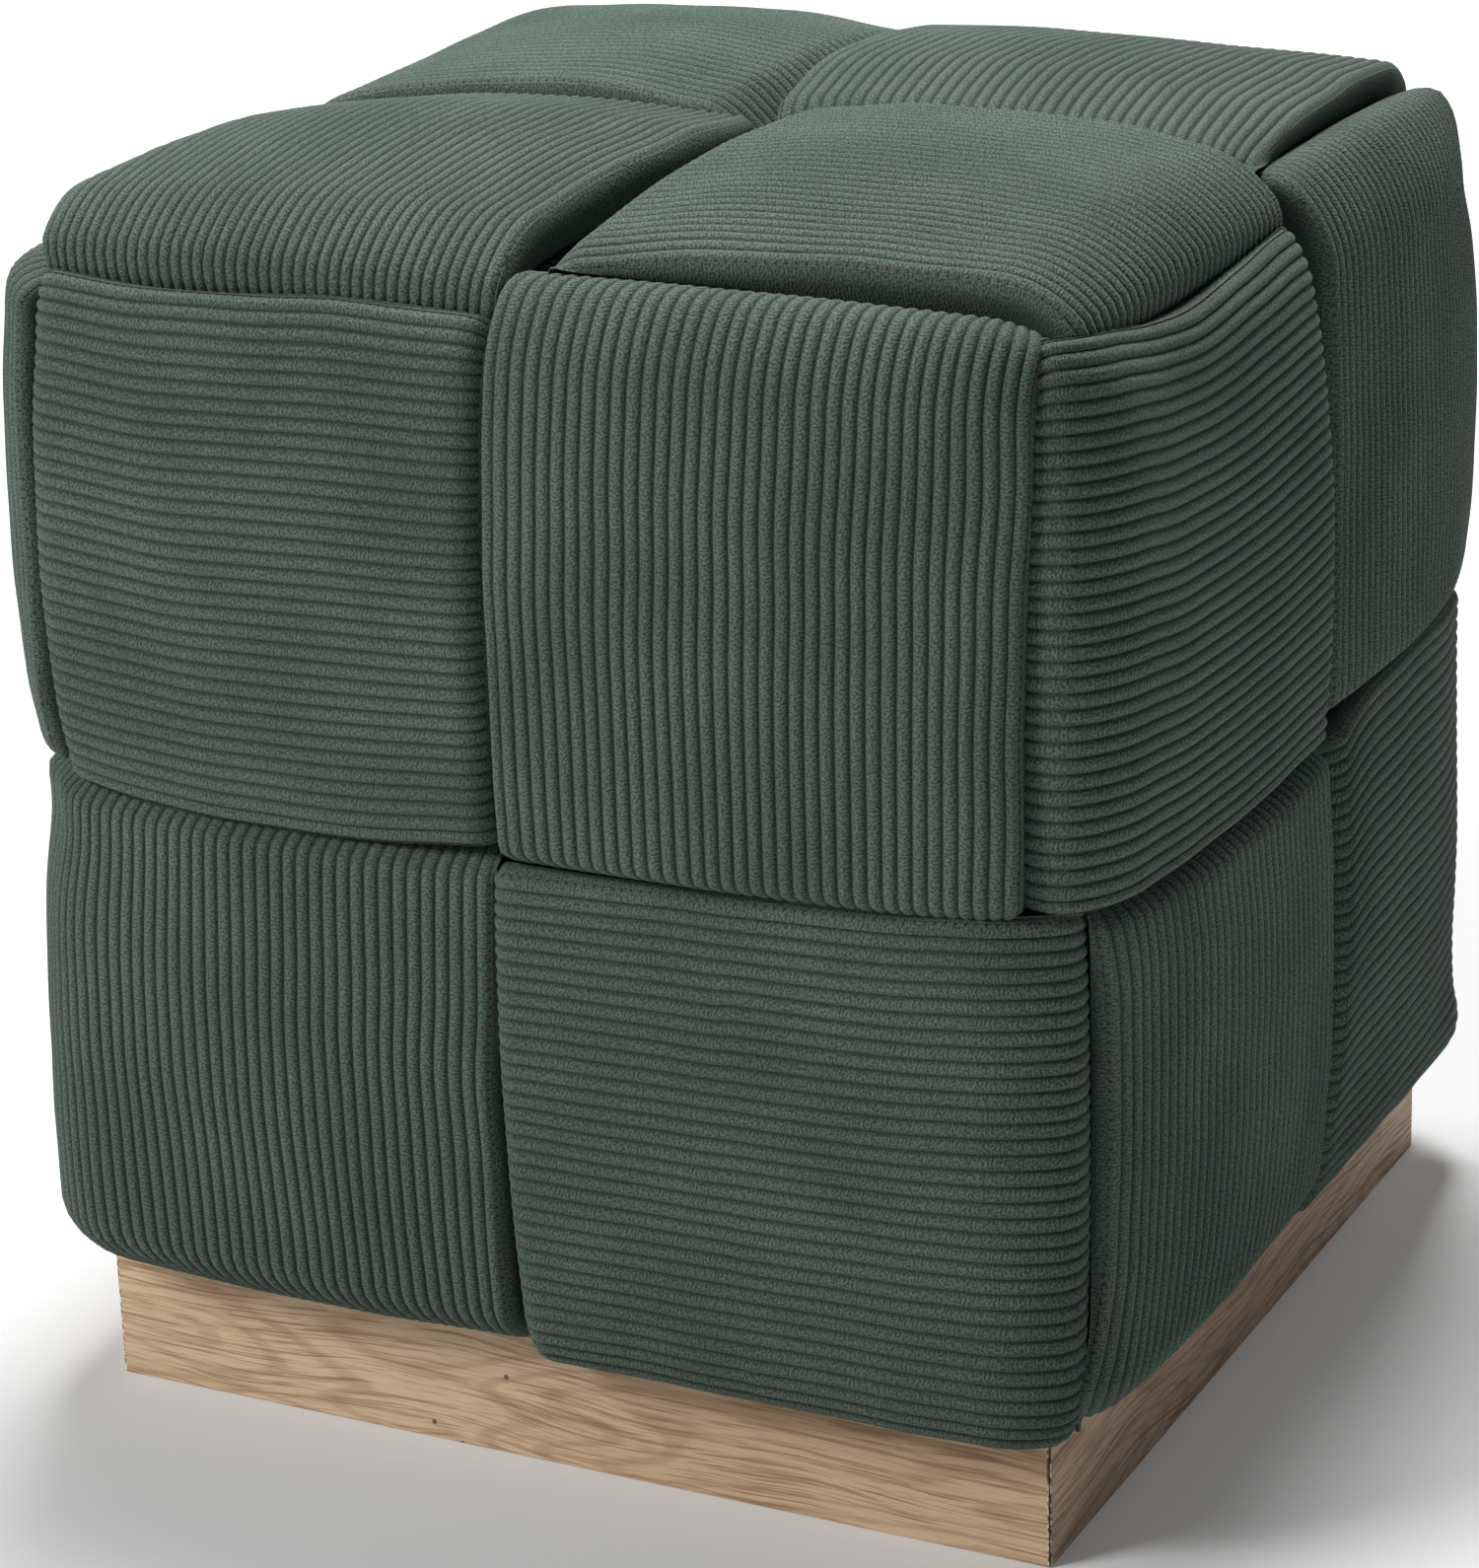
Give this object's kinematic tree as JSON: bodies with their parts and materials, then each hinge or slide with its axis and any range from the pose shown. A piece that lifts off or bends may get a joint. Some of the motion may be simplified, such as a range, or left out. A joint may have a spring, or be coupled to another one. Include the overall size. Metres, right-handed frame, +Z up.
{
  "type": "cube pouf stool",
  "caption": "Cube pouf woven from broad padded corduroy bands, standing on a low mitred oak plinth",
  "frame": {"origin": "on the floor under the middle of the plinth", "axes": "+Z up, -Y towards the front of the picture's left face"},
  "size_m": [0.422, 0.422, 0.4388],
  "materials": {
    "corduroy": "wide-wale cotton corduroy, soft brushed pile",
    "oak": "oiled matt oak",
    "birch_ply": "plain sanded plywood"
  },
  "bodies": {
    "root": {"top_band_front": "corduroy", "top_band_right": "corduroy", "top_band_back": "corduroy", "top_band_left": "corduroy", "belt_upper": "corduroy", "belt_lower": "corduroy", "plinth_board_front": "oak", "plinth_board_right": "oak", "plinth_board_back": "oak", "plinth_board_left": "oak", "base_board": "birch_ply"}
  },
  "joints": []
}
